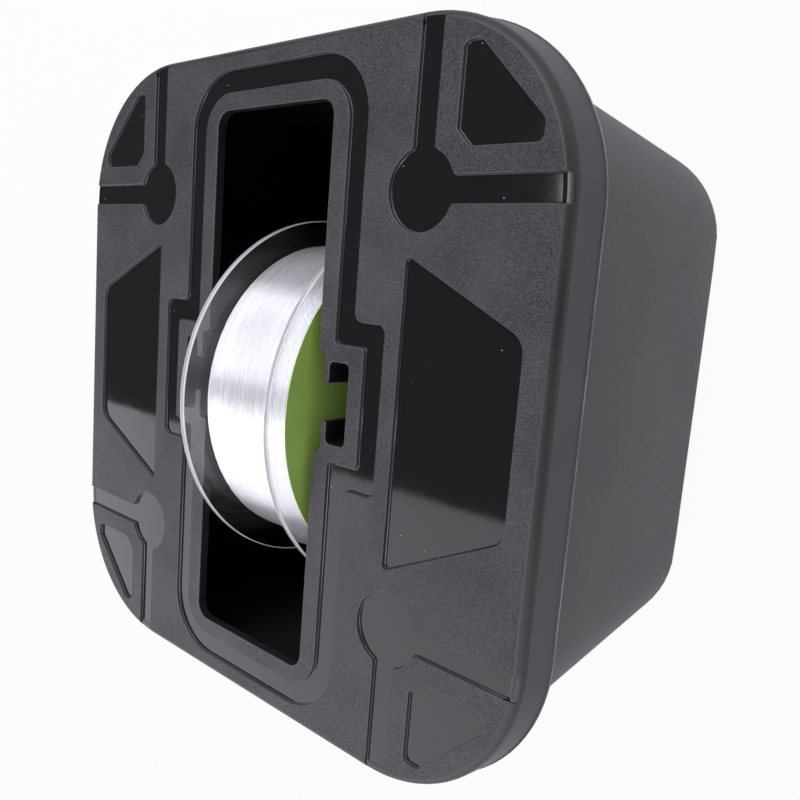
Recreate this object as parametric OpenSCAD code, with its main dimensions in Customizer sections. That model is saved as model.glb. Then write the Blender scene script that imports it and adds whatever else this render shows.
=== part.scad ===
// Line winder: a tapered square tub, its lid, and a bulk spool on an axle that hangs in the lid.
// The lid's face is level with the top of the box. X runs along the axle, Y along the slot.

/* [Box] */
// Height of the box with its lid on
box_h = 139; // [125:1:160]

/* [Lid] */
// Width of the square lid across its lower lip
lid_w = 212; // [206:1:230]
// Radius of the lid's corners in plan
lid_corner_r = 49.6; // [42:0.2:56]
// Radius of the edge between face and skirt
lid_edge_r = 3; // [2:0.2:3.4]
// Height of the skirt from the face to its lower edge
skirt_h = 14; // [10:0.5:20]
// How far the skirt leans in from its lip to the face
skirt_draft = 1.2; // [0:0.1:1.6]
// Thickness of the skirt
skirt_t = 2.2; // [1.6:0.1:2.6]
// Thickness of the face plate
plate_t = 3.2; // [2.6:0.2:4]
// Height of the bead round the skirt's lower edge
lip_h = 1.2; // [0.8:0.2:2]
// How far the bead stands out from the skirt
lip_out = 0.4; // [0.2:0.1:1]
// Depth of the rib under the lid that fits inside the tub's mouth
rib_h = 6; // [3:0.5:10]
// Thickness of that rib
rib_t = 1.8; // [1.2:0.2:3]

/* [Slot] */
// Width of the slot that the spool stands in
slot_w = 53.2; // [51:0.2:56]
// Length of the slot
slot_l = 171.4; // [150:0.2:176]
// Radius of the slot's corners
slot_r = 5; // [3:0.5:8]
// How much wider the slot is, on each side, beside an axle pocket
bay_d = 2.8; // [2.2:0.1:3.4]
// Length of that wider stretch
bay_l = 29.4; // [29:0.2:32]

/* [Axle pockets] */
// Thickness of the walls of a pocket
pocket_wall = 2.1; // [1.6:0.1:2.6]
// Width of a pocket along the axle
pocket_w = 7.8; // [7:0.1:9]
// Length of a pocket along the slot
pocket_l = 24.2; // [23:0.2:26]
// Radius of a pocket's corners
pocket_r = 1.6; // [1:0.2:3]
// Width of the axle notch where it opens at the face
notch_w = 11.3; // [10:0.1:14]
// Depth of the axle's middle below the face
axle_depth = 48; // [44:0.1:52]
// Depth of a pocket below the face
pocket_h = 62; // [61:0.5:70]

/* [Pattern on the face] */
// Depth of the recessed pattern
recess_d = 1.2; // [0.6:0.1:1.6]
// Width of the raised frame across the slot
frame_w = 66; // [64:0.5:70]
// Length of the raised frame along the slot
frame_l = 182.4; // [179:0.2:186]
// Radius of the frame's corners
frame_r = 12; // [8:0.5:16]
// Width of the frame where it goes round the pockets
boss_w = 89.4; // [87:0.2:93]
// Length of that wider part along the slot
boss_l = 34.8; // [33:0.2:38]
// Width of the groove round the frame
groove_w = 7; // [5:0.2:7.6]
// Radius of the groove's outer corners
groove_r = 19; // [14:0.5:24]
// Radius of the small corners of frame and groove
boss_r = 1.4; // [1:0.1:1.8]
// Distance from the middle of the lid to each round recess, both ways
disc_at = 60.2; // [59:0.2:62]
// Diameter of each round recess
disc_d = 21.6; // [18:0.2:23]
// Width of the channels that run from a round recess to the edges
channel_w = 7; // [5:0.2:8]
// Distance from the middle to the near edges of a corner recess
corner_near = 70.4; // [69:0.2:72]
// Distance from the middle to the far edges of a corner recess
corner_far = 95.2; // [90:0.2:96]
// Length of the chamfer towards the middle of the lid, along each side
corner_cut = 4.2; // [3:0.2:6]
// Length of a corner recess's short outer sides
corner_leg = 5; // [3:0.2:6]
// Distance from the middle to a side panel's long inner edge
panel_near = 57.3; // [56.8:0.1:59]
// Distance from the middle to a side panel's short outer edge
panel_far = 95.5; // [90:0.5:97]
// Length of a side panel's inner edge
panel_in_l = 87; // [80:0.5:90]
// Length of a side panel's outer edge
panel_out_l = 50.2; // [40:0.2:60]
// Radius of a side panel's outer corners
panel_r = 4; // [2:0.5:6]
// Radius of the outer corners of a corner recess
corner_r = 2; // [1:0.1:2.4]
// Radius of the sharp corners of panels and corner recesses
sharp_r = 1.2; // [0.6:0.1:1.6]

/* [Tub] */
// Width of the tub at the level of the skirt's lower edge
tub_top_w = 200.4; // [196:0.2:201]
// Width that the tub's walls taper to at the ground
tub_base_w = 182.6; // [172:0.2:190]
// Radius of the tub's corners in plan at the skirt
tub_top_r = 44.6; // [42:0.2:48]
// Radius of the tub's corners in plan at the ground
tub_base_r = 34.2; // [28:0.2:40]
// Radius of the edge between wall and base
tub_edge_r = 13; // [8:0.5:20]
// Thickness of the tub's wall
tub_t = 2.4; // [1.8:0.1:3]
// Thickness of the tub's floor
floor_t = 2.6; // [2:0.1:4]
// How far the tub's rim turns out
rim_out = 1.2; // [0.8:0.1:1.4]
// Height of the turned rim
rim_h = 3; // [2:0.2:5]
// Width of the ring that the tub stands on
foot_w = 5; // [3:0.5:8]
// How far the base is raised inside that ring
foot_h = 1.2; // [0.8:0.1:2]

/* [Axle] */
// Diameter of the axle rod
rod_d = 8; // [7.6:0.1:8.6]
// Diameter of the caps on the rod's ends
cap_d = 22; // [20:0.2:23]
// Length of each cap
cap_l = 6.8; // [6:0.1:7]
// How far the rod goes into a cap
cap_grip = 5; // [3:0.2:5.4]
// Number of flutes round a cap
cap_flutes = 16; // [8:1:24]
// Diameter of a flute
flute_d = 1.6; // [1:0.1:2]
// Diameter of the bush and the washers beside the spool
washer_d = 28; // [26:0.2:28.4]
// Thickness of a drag washer
drag_t = 1.5; // [1:0.1:2]
// Thickness of the thrust washer
thrust_t = 1.4; // [1:0.1:2]
// Diameter of the spring across its wire
spring_d = 18; // [15:0.5:24]
// Diameter of the spring's wire
spring_wire = 0.9; // [0.7:0.1:1]
// Turns of the spring
spring_turns = 2.5; // [2:0.25:2.75]

/* [Spool] */
// Diameter of the flanges
flange_d = 124.4; // [118:0.2:126]
// Thickness of a flange
flange_t = 2.1; // [1.4:0.1:2.4]
// Width of the spool across the outside of the flanges
spool_w = 43.8; // [42:0.2:44.6]
// Diameter of the bore
bore_d = 21; // [18:0.2:24]
// Thickness of the hub's and the drum's walls
hub_t = 1.8; // [1.4:0.1:2.4]
// Outside diameter of the drum that the line is wound on
drum_d = 64; // [54:1:72]
// Length of the joint where one half's walls slip into the other's
joint_l = 5; // [3:0.5:8]
// Diameter of the label on the right flange
label_d = 111.6; // [104:0.2:116]
// Width of the bare ring between the label and the bore
label_gap = 3.5; // [2:0.5:8]
// Thickness of the label
label_t = 0.3; // [0.2:0.1:0.4]
// Rounding of a flange's rim
flange_r = 0.6; // [0.3:0.1:0.7]
// How far the spool sits off the middle of the slot, to the right
spool_shift = 0.5; // [0:0.1:0.6]

/* [Line] */
// Diameter of the wound line
wound_d = 107; // [100:0.2:110]
// Diameter of the strand in the outer layer
strand_d = 1.2; // [1:0.05:1.2]
// Turns in the outer layer
turns = 23; // [16:1:23]

/* [Fits] */
// Gap between pieces that touch but come apart
seat_gap = 0.3; // [0.2:0.05:0.3]
// Radial clearance of the rod in the caps
grip_gap = 0.04; // [0.02:0.01:0.08]
// Radial clearance of the joint between the spool's halves
joint_gap = 0.1; // [0.05:0.05:0.2]
// Gap between rib and tub
rib_gap = 0.6; // [0.4:0.1:1]

/* [Hidden] */

// How far a cut runs past the surface that it opens
over = 1;
// Steps in a rounded corner of an outline, and in the corners of the tub and lid
arc_steps = 6;
corner_steps = 12;
// Sides of the round pieces
fine = 96;
medium = 48;

// Levels
face_z = box_h;
plate_z = face_z - plate_t;
skirt_z = face_z - skirt_h;
axle_z = face_z - axle_depth;
rim_z = plate_z - seat_gap;

// Places along the axle, from the middle outwards
spool_x = spool_w / 2;
bay_x = slot_w / 2 + bay_d;
pocket_x = bay_x + pocket_wall;
pocket_far_x = pocket_x + pocket_w;
cap_x = pocket_x + (pocket_w - cap_l) / 2;
drag_left_x = spool_x + seat_gap - spool_shift;
drag_right_x = spool_x + label_t + seat_gap + spool_shift;
bush_x = drag_right_x + drag_t;
bush_l = bay_x - seat_gap - bush_x;
thrust_x = bay_x - seat_gap - thrust_t;
spring_gap = seat_gap / 3;
spring_x = drag_left_x + drag_t + spring_gap;
spring_l = thrust_x - spring_gap - spring_x;

// The spool hangs to one side on the thinner rod, as it does when the box lies on that side
hang = (bore_d - rod_d) / 2 - seat_gap;
washer_bore = rod_d + 2 * seat_gap;

// The wound line
inner_x = spool_x - flange_t;
strand_pitch = (2 * inner_x - 2 * seat_gap - strand_d) / turns;
strand_r = wound_d / 2 - strand_d / 2;
strand_rings = 24;
strand_sides = 6;
spring_rings = 12;
core_r = strand_r * cos(180 / strand_rings) - strand_d / 2 - joint_gap;

function unit(v) = v / norm(v);

// Points of the corner at b, between a and c, rounded to radius r
function corner(a, b, c, r) =
    let (u = unit(a - b), v = unit(c - b), half = acos(u * v) / 2,
         middle = b + unit(u + v) * r / sin(half),
         from = b + u * r / tan(half) - middle, to = b + v * r / tan(half) - middle,
         start = atan2(from.y, from.x), turn = atan2(to.y, to.x) - start,
         sweep = turn > 180 ? turn - 360 : turn < -180 ? turn + 360 : turn)
    [for (i = [0:arc_steps]) let (t = start + sweep * i / arc_steps) middle + r * [cos(t), sin(t)]];

// A closed outline with each corner rounded to its own radius
function rounded(points, radii) =
    let (n = len(points))
    [for (i = [0:n - 1]) each corner(points[(i + n - 1) % n], points[i], points[(i + 1) % n], radii[i])];

// A rectangle, widened over a stretch at its middle, with end corners and small corners
function cross_outline(w, l, wide_w, wide_l, end_r, small_r) =
    let (x = w / 2, y = l / 2, wx = wide_w / 2, wy = wide_l / 2)
    rounded([[x, -y], [x, -wy], [wx, -wy], [wx, wy], [x, wy], [x, y],
             [-x, y], [-x, wy], [-wx, wy], [-wx, -wy], [-x, -wy], [-x, -y]],
            [end_r, small_r, small_r, small_r, small_r, end_r,
             end_r, small_r, small_r, small_r, small_r, end_r]);

function rectangle(w, l, r) =
    rounded([[w, -l] / 2, [w, l] / 2, [-w, l] / 2, [-w, -l] / 2], [r, r, r, r]);

// One ring of a body that is a rounded square in plan
function ring(half, r, z) =
    [for (q = [0:3]) for (i = [0:corner_steps])
        let (t = 90 * (q + i / corner_steps), s = 90 * q + 45, m = (half - r) * sqrt(2))
        [m * cos(s) + r * cos(t), m * sin(s) + r * sin(t), z]];

// Joins rings in order, closed by the first and the last
module loft(rings) {
    n = len(rings[0]);
    last = len(rings) - 1;
    polyhedron(
        points = [for (r = rings) each r],
        faces = concat(
            [[for (i = [0:n - 1]) i]],
            [for (k = [0:last - 1]) for (i = [0:n - 1])
                let (a = k * n + i, b = k * n + (i + 1) % n) each [[a, a + n, b + n], [a, b + n, b]]],
            [[for (i = [n - 1:-1:0]) last * n + i]]));
}

// Sweeps a round strand of the given diameter along points whose path is a helix about X
function tube_ring(p, dir, d, sides) =
    let (a = unit([0, p.y, p.z]), b = cross(unit(dir), a))
    [for (s = [0:sides - 1]) let (t = 360 * s / sides) p + d / 2 * (cos(t) * a + sin(t) * b)];

module tube(points, d, sides) {
    n = len(points);
    polyhedron(
        points = [for (i = [0:n - 1])
            each tube_ring(points[i], points[min(i + 1, n - 1)] - points[max(i - 1, 0)], d, sides)],
        faces = concat(
            [[for (s = [0:sides - 1]) s]],
            [for (i = [0:n - 2]) for (s = [0:sides - 1])
                let (a = i * sides + s, b = i * sides + (s + 1) % sides)
                each [[a, a + sides, b + sides], [a, b + sides, b]]],
            [[for (s = [sides - 1:-1:0]) (n - 1) * sides + s]]));
}

// Points of a helix about X, from x0 on, with straight ends one strand long
function helix(x0, pitch, r, count, rings, d) =
    let (body = [for (i = [0:count * rings]) let (t = 360 * i / rings)
            [x0 + pitch * i / rings, r * cos(t), r * sin(t)]],
         n = len(body))
    concat([body[0] - d * unit(body[1] - body[0])], body,
           [body[n - 1] + d * unit(body[n - 1] - body[n - 2])]);

// The least gap between a helix strand and its neighbouring turns
function helix_gap(p, rings, d) =
    min([for (i = [0:len(p) - 1]) for (j = [i + rings / 2:min(i + 3 * rings / 2, len(p) - 1)])
        norm(p[i] - p[j])]) - d;

// Turns a shape built about Z so that its axis runs along X, out to the side given as 1 or -1
module along_x(side = 1) {
    rotate([0, 90 * side, 0]) children();
}

// A ring about the axle from x to x + l on one side
module collar(x, l, outer_d, inner_d, side) {
    translate([0, 0, axle_z]) along_x(side) translate([0, 0, x]) difference() {
        cylinder(d = outer_d, h = l, $fn = fine);
        translate([0, 0, -over]) cylinder(d = inner_d, h = l + 2 * over, $fn = medium);
    }
}

// Half width and corner radius of the tub's outside at height z
function tub_half(z) = tub_base_w / 2 + (tub_top_w - tub_base_w) / 2 * z / skirt_z;
function tub_r(z) = tub_base_r + (tub_top_r - tub_base_r) * z / skirt_z;

// A ring of the tub, moved in by d from its outside
function tub_ring(z, d, level) = ring(tub_half(z) - d, tub_r(z) - d, level);

// Rings round the lower edge, at depth d inside the outside, from base to wall
function tub_edge(d, r, floor_z) =
    [for (i = [0:arc_steps]) let (t = 90 * i / arc_steps, z = floor_z + r * (1 - cos(t)))
        tub_ring(z, d + r * (1 - sin(t)), z)];

module tub() {
    inner_r = tub_edge_r - tub_t;
    foot_in = tub_edge_r + foot_w;
    color([0.18, 0.18, 0.19]) loft(concat(
        [tub_ring(0, foot_in + foot_h, foot_h), tub_ring(0, foot_in, 0)],
        tub_edge(0, tub_edge_r, 0),
        [tub_ring(rim_z - rim_h, 0, rim_z - rim_h),
         tub_ring(rim_z - rim_h, -rim_out, rim_z - rim_h),
         tub_ring(rim_z, -rim_out, rim_z),
         tub_ring(rim_z, tub_t, rim_z)],
        [for (i = [arc_steps:-1:0]) tub_edge(tub_t, inner_r, floor_t)[i]]));
}

// The lid without its slot and pattern
module lid_shell() {
    half = lid_w / 2 - lip_out;
    top_half = half - skirt_draft;
    r = lid_corner_r;
    rib_x = tub_half(rim_z) - tub_t - rib_gap;
    rib_r = tub_r(rim_z) - tub_t - rib_gap;
    function at(h, z) = ring(h, r - lid_w / 2 + h, z);
    function rib(d, z) = ring(rib_x - d, rib_r - d, z);
    loft(concat(
        [rib(rib_t, plate_z), rib(rib_t, plate_z - rib_h), rib(0, plate_z - rib_h), rib(0, plate_z),
         at(half - skirt_t, plate_z), at(half - skirt_t, skirt_z),
         at(half + lip_out / 2, skirt_z), at(half + lip_out, skirt_z + lip_h / 3),
         at(half + lip_out, skirt_z + 2 * lip_h / 3), at(half, skirt_z + lip_h)],
        [for (i = [0:arc_steps]) let (t = 90 * i / arc_steps)
            at(top_half - lid_edge_r * (1 - cos(t)), face_z - lid_edge_r * (1 - sin(t)))]));
}

// The recesses of one corner: round recess, two channels and the corner panel
module corner_pattern() {
    reach = lid_w / 2 - disc_at + over;
    translate([disc_at, disc_at]) circle(d = disc_d, $fn = fine);
    translate([disc_at - channel_w / 2, disc_at]) square([channel_w, reach]);
    translate([disc_at, disc_at - channel_w / 2]) square([reach, channel_w]);
    polygon(rounded(
        [[corner_near + corner_cut, corner_near], [corner_far, corner_near],
         [corner_far, corner_near + corner_leg], [corner_near + corner_leg, corner_far],
         [corner_near, corner_far], [corner_near, corner_near + corner_cut]],
        [sharp_r, corner_r, corner_r, corner_r, corner_r, sharp_r]));
}

module side_panel() {
    polygon(rounded(
        [[panel_near, -panel_in_l / 2], [panel_far, -panel_out_l / 2],
         [panel_far, panel_out_l / 2], [panel_near, panel_in_l / 2]],
        [sharp_r, panel_r, panel_r, sharp_r]));
}

module face_pattern() {
    for (x = [0, 1]) mirror([x, 0]) {
        side_panel();
        for (y = [0, 1]) mirror([0, y]) corner_pattern();
    }
    difference() {
        polygon(cross_outline(frame_w + 2 * groove_w, frame_l + 2 * groove_w,
                              boss_w + 2 * groove_w, boss_l + 2 * groove_w, groove_r, 2 * boss_r));
        polygon(cross_outline(frame_w, frame_l, boss_w, boss_l, frame_r, boss_r));
    }
}

// The box that hangs under the lid round one axle cap
module pocket_box() {
    translate([bay_x, 0, face_z - pocket_h])
        linear_extrude(pocket_h - recess_d)
            translate([pocket_w / 2 + pocket_wall, 0])
                polygon(rectangle(pocket_w + 2 * pocket_wall, pocket_l + 2 * pocket_wall, pocket_r));
}

module pocket_hole() {
    translate([pocket_x + pocket_w / 2, 0, face_z - pocket_h - over])
        linear_extrude(pocket_h + 2 * over) polygon(rectangle(pocket_w, pocket_l, pocket_r));
}

// The notch in the wall between slot and pocket, wide at the face and as round as the rod below
module notch() {
    seat_r = rod_d / 2 + seat_gap;
    cut_l = pocket_wall + 2 * over;
    translate([bay_x - over, 0, axle_z]) rotate([90, 0, 90]) {
        cylinder(r = seat_r, h = cut_l, $fn = medium);
        linear_extrude(cut_l)
            polygon([[-seat_r, 0], [seat_r, 0], [notch_w / 2, axle_depth + over],
                     [-notch_w / 2, axle_depth + over]]);
    }
}

module lid() {
    color([0.22, 0.22, 0.23]) difference() {
        union() {
            lid_shell();
            for (x = [0, 1]) mirror([x, 0, 0]) pocket_box();
        }
        translate([0, 0, face_z - recess_d]) linear_extrude(recess_d + over) face_pattern();
        translate([0, 0, plate_z - over]) linear_extrude(plate_t + 2 * over)
            polygon(cross_outline(slot_w, slot_l, 2 * bay_x, bay_l, slot_r, sharp_r));
        for (x = [0, 1]) mirror([x, 0, 0]) {
            pocket_hole();
            notch();
        }
    }
}

module axle_rod() {
    rod_x = cap_x + cap_grip - grip_gap;
    color([0.75, 0.76, 0.78]) translate([-rod_x, 0, axle_z]) along_x()
        cylinder(d = rod_d, h = 2 * rod_x, $fn = medium);
}

module axle_cap(side) {
    color([0.1, 0.1, 0.11]) translate([0, 0, axle_z]) along_x(side) translate([0, 0, cap_x])
        difference() {
            cylinder(d = cap_d, h = cap_l, $fn = fine);
            translate([0, 0, -over])
                cylinder(d = rod_d + 2 * grip_gap, h = cap_grip + over, $fn = medium);
            for (i = [0:cap_flutes - 1]) rotate(360 * i / cap_flutes)
                translate([cap_d / 2, 0, -over]) cylinder(d = flute_d, h = cap_l + 2 * over, $fn = 24);
        }
}

module axle_cap_left() {
    axle_cap(-1);
}

module axle_cap_right() {
    axle_cap(1);
}

module spacer_bush() {
    color([0.14, 0.14, 0.15]) collar(bush_x, bush_l, washer_d, washer_bore, 1);
}

module drag_washer_left() {
    color([0.06, 0.06, 0.06]) collar(drag_left_x, drag_t, washer_d, washer_bore, -1);
}

module drag_washer_right() {
    color([0.06, 0.06, 0.06]) collar(drag_right_x, drag_t, washer_d, washer_bore, 1);
}

module thrust_washer() {
    color([0.7, 0.7, 0.72]) collar(thrust_x, thrust_t, washer_d, washer_bore, -1);
}

module tension_spring() {
    path = helix(spring_wire / 2 - spring_x - spring_l, (spring_l - spring_wire) / spring_turns,
                 (spring_d - spring_wire) / 2, spring_turns, spring_rings, spring_wire);
    color([0.7, 0.7, 0.72]) translate([0, 0, axle_z]) tube(path, spring_wire, strand_sides);
}

// A lathe shape about the spool's own axis, drawn as radius against distance from its middle
module spool_lathe(side) {
    translate([spool_shift, -hang, axle_z]) along_x(side) rotate_extrude($fn = fine) children();
}

// Half of the spool. The outer half's walls slip over the inner half's, at the middle.
module spool_half(side, inner) {
    hub_r = bore_d / 2;
    rim_r = flange_d / 2;
    skin_t = (hub_t - joint_gap) / 2;
    color([0.85, 0.88, 0.9, 0.35]) spool_lathe(side) {
        polygon(concat([[hub_r, spool_x], [hub_r, inner_x]],
                       corner([hub_r, inner_x], [rim_r, inner_x], [rim_r, spool_x], flange_r),
                       corner([rim_r, inner_x], [rim_r, spool_x], [hub_r, spool_x], flange_r)));
        for (r = [hub_r, drum_d / 2 - hub_t]) {
            translate([r, joint_l / 2]) square([hub_t, inner_x - joint_l / 2]);
            translate([inner ? r : r + hub_t - skin_t, joint_gap - joint_l / 2])
                square([skin_t, joint_l - joint_gap]);
        }
    }
}

module spool_half_left() {
    spool_half(-1, true);
}

module spool_half_right() {
    spool_half(1, false);
}

module spool_label() {
    label_in = bore_d / 2 + label_gap;
    color([0.44, 0.56, 0.24]) spool_lathe(1)
        translate([label_in, spool_x]) square([label_d / 2 - label_in, label_t]);
}

module line_core() {
    core_in = drum_d / 2 + joint_gap;
    core_x = inner_x - joint_gap;
    color([0.85, 0.85, 0.88]) spool_lathe(1)
        translate([core_in, -core_x]) square([core_r - core_in, 2 * core_x]);
}

module line_winding() {
    path = helix(-strand_pitch * turns / 2, strand_pitch, strand_r, turns, strand_rings, strand_d);
    echo(least_gap_of_the_outer_layer_mm = helix_gap(path, strand_rings, strand_d));
    color([0.95, 0.95, 0.97]) translate([spool_shift, -hang, axle_z])
        tube(path, strand_d, strand_sides);
}

tub();
lid();
axle_rod();
axle_cap_left();
axle_cap_right();
spacer_bush();
drag_washer_left();
drag_washer_right();
tension_spring();
thrust_washer();
spool_half_left();
spool_half_right();
spool_label();
line_core();
line_winding();
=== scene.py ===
"""Fishing line winder: a square tub with a press-on lid, and a bulk spool of line on an axle in its slot.

Sizes are in millimetres, as in the part's source, and go to metres as each mesh is made. X runs along the
axle, Y along the slot, Z up. The tub stands on z = 0.
"""

import bmesh
import bpy
import numpy as np
from mathutils import Matrix, Vector
from mathutils.geometry import delaunay_2d_cdt

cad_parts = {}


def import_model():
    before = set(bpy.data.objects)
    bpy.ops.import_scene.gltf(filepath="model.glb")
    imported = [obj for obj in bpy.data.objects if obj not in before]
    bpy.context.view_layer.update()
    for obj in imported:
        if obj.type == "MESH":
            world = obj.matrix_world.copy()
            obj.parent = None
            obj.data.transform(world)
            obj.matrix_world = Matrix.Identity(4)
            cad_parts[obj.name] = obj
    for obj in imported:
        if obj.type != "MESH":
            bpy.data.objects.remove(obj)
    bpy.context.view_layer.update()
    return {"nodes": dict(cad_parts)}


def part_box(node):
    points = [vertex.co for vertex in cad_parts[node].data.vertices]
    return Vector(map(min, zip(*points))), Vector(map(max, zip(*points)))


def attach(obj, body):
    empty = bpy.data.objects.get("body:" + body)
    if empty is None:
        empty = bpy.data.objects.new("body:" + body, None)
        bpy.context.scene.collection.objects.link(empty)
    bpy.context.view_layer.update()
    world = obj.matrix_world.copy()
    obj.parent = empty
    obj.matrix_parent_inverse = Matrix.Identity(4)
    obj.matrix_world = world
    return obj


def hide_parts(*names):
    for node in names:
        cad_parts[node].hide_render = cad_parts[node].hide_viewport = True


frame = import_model()
nodes = frame["nodes"]

MM = 0.001
MERGE_M = 2e-6  # points nearer than this are made one
FILL_MM = 1e-5  # how near a point has to be to an edge to lie on it, where a flat face is filled
LATHE_SIDES = 192


def box_mm(node):
    """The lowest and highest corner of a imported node, in millimetres."""
    low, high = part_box(node)
    return np.array(low) / MM, np.array(high) / MM


# Places that the frame gives
lid_high = box_mm("lid")[1]
tub_high = box_mm("tub")[1]
FACE_Z = lid_high[2]
LID_HALF = lid_high[0]
rod_low, rod_high = box_mm("axle_rod")
AXLE_Z = (rod_low[2] + rod_high[2]) / 2
ROD_R = (rod_high[2] - rod_low[2]) / 2
left_low = box_mm("spool_half_left")[0]
right_low, right_high = box_mm("spool_half_right")
SPOOL_X = (left_low[0] + right_high[0]) / 2
SPOOL_Y = (right_low[1] + right_high[1]) / 2
SPOOL_HALF = (right_high[0] - left_low[0]) / 2
FLANGE_R = (right_high[1] - right_low[1]) / 2

# Lid
LIP_OUT, LIP_H = 0.4, 1.2
SKIRT_HALF = LID_HALF - LIP_OUT
SKIRT_H, SKIRT_DRAFT, SKIRT_T = 14.0, 1.2, 2.2
EDGE_R = 3.0
MOUTH_END = np.radians(58)  # the tilt at which a channel has run out
MOUTH_GLOSS = np.radians(38)  # the tilt past which a channel's floor is no longer polished
MOUTH_FADE = 0.8
LID_CORNER_R = 49.6
CORNER_AT = LID_HALF - LID_CORNER_R
PLATE_T = 3.2
RIB_H, RIB_T = 6.0, 1.8
RIB_HALF, RIB_R = 97.95, 42.47

# Slot, bays and pockets
SLOT_X, SLOT_Y, SLOT_R = 26.6, 85.7, 5.0
BAY_X, BAY_Y = 29.4, 14.7
POCKET_L, POCKET_WALL = 7.8, 2.1
POCKET_X = BAY_X + POCKET_WALL
POCKET_FAR = POCKET_X + POCKET_L
POCKET_Y, POCKET_R, POCKET_EDGE_R = 12.1, 1.6, 0.3
POCKET_H, POCKET_STEP = 62.0, 0.4
SEAT_GAP = 0.3
NOTCH_Y, SEAT_R = 5.65, ROD_R + SEAT_GAP
TIP_R = 0.7

# Pattern
RECESS_D = 1.2
FRAME_X, FRAME_Y, FRAME_R = 33.0, 91.2, 12.0
BOSS_X, BOSS_Y, BOSS_R = 44.7, 17.4, 1.4
GROOVE_W, GROOVE_R = 7.0, 19.0
DISC_AT, DISC_R, CHANNEL_HALF = 60.2, 10.8, 3.5
CORNER_NEAR, CORNER_FAR, CORNER_CUT, CORNER_LEG = 70.4, 95.2, 4.2, 5.0
PANEL_NEAR, PANEL_FAR, PANEL_IN, PANEL_OUT = 57.3, 95.5, 43.5, 25.1
SHARP_R, CORNER_R, PANEL_R = 1.2, 2.0, 6.0

# Roundings of the moulded edges
RIM_R, FOOT_R, SLOT_RIM_R = 0.4, 0.3, 0.35
LAND_MARGIN, FLOOR_MARGIN, SLOT_MARGIN = 0.7, 0.6, 0.6
BAND_W, BAND_STEP = 0.7, 0.4
BAND_HALF = SKIRT_HALF - SKIRT_DRAFT - EDGE_R - BAND_W
PAST_BAND, NEAR_BAND = 20, 5

# Marks that pick a face's material, for the lid and tub, for the spool and for the wound line
# Of these, one mark paints shade on the lid's rounded edge and one paints a highlight along its lip.
STIPPLED, GLOSSY, SATIN, INSIDE, PAINTED_HIGHLIGHT, PAINTED_SHADE = range(6)
CLEAR, CLEAR_RIM, CLEAR_BAND = range(3)
FLANK = 1


# Mesh helpers

class Skin:
    """Collects the patches of one piece."""

    def __init__(self):
        self.points = []
        self.faces = []
        self.marks = []
        self.count = 0

    def add(self, points, faces, marks):
        """Adds points and faces. The faces count from the first of these points."""
        points = np.asarray(points, float).reshape(-1, 3)
        faces = np.asarray(faces) + self.count
        self.points.append(points)
        self.faces += faces.tolist()
        self.marks.append(np.broadcast_to(marks, len(faces)))
        self.count += len(points)

    def sheet(self, grid, marks=0, around=False, along=False):
        """Quads through a grid of points, rows by columns. around joins the last column to the first, and
        along the last row to the first. marks is one number, one for each row of quads, or one for each."""
        rows, columns = grid.shape[:2]
        index = np.arange(rows * columns).reshape(rows, columns)
        if around:
            index = np.hstack([index, index[:, :1]])
        if along:
            index = np.vstack([index, index[:1]])
        quads = np.stack([index[:-1, :-1], index[:-1, 1:], index[1:, 1:], index[1:, :-1]], axis=-1)
        marks = np.asarray(marks)
        marks = marks if marks.ndim == 2 else marks.reshape(-1, 1)
        self.add(grid, quads.reshape(-1, 4), np.broadcast_to(marks, quads.shape[:2]).reshape(-1))

    def flat(self, chains, keep, z, mark):
        """Triangles that fill the plane z between chains of points, where keep says so of their middles."""
        points = np.vstack([chain for chain, closed in chains])
        starts = np.cumsum([0] + [len(chain) for chain, closed in chains])
        edges = []
        for start, (chain, closed) in zip(starts, chains):
            ring = np.arange(start, start + len(chain))
            pairs = np.stack([ring, np.roll(ring, -1)], axis=1)
            edges += (pairs if closed else pairs[:-1]).tolist()
        found = delaunay_2d_cdt([Vector(p) for p in points], edges, [], 0, FILL_MM)
        flat_points = np.array([tuple(p) for p in found[0]])
        triangles = np.array(found[2])
        kept = triangles[keep(flat_points[triangles].mean(axis=1))]
        self.add(np.column_stack([flat_points, np.full(len(flat_points), z)]), kept, mark)

    def build(self, name, materials, body, replaced, slot, sharp=40.0):
        """Makes the object, merges its doubled points and turns its faces outwards."""
        mesh = bpy.data.meshes.new(name)
        mesh.from_pydata((np.vstack(self.points) * MM).tolist(), [], self.faces)
        mesh.polygons.foreach_set("material_index", np.concatenate(self.marks).astype(np.int32))
        work = bmesh.new()
        work.from_mesh(mesh)
        bmesh.ops.remove_doubles(work, verts=work.verts, dist=MERGE_M)
        bmesh.ops.delete(work, geom=[v for v in work.verts if not v.link_faces], context="VERTS")
        bmesh.ops.recalc_face_normals(work, faces=work.faces)
        work.to_mesh(mesh)
        work.free()
        mesh.shade_smooth()
        mesh.set_sharp_from_angle(angle=np.radians(sharp))
        for material in materials:
            mesh.materials.append(material)
        piece = bpy.data.objects.new(name, mesh)
        bpy.context.scene.collection.objects.link(piece)
        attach(piece, body)
        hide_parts(*replaced)


def unit(vectors):
    """Vectors scaled to length 1."""
    return vectors / np.linalg.norm(vectors, axis=-1, keepdims=True)


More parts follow.
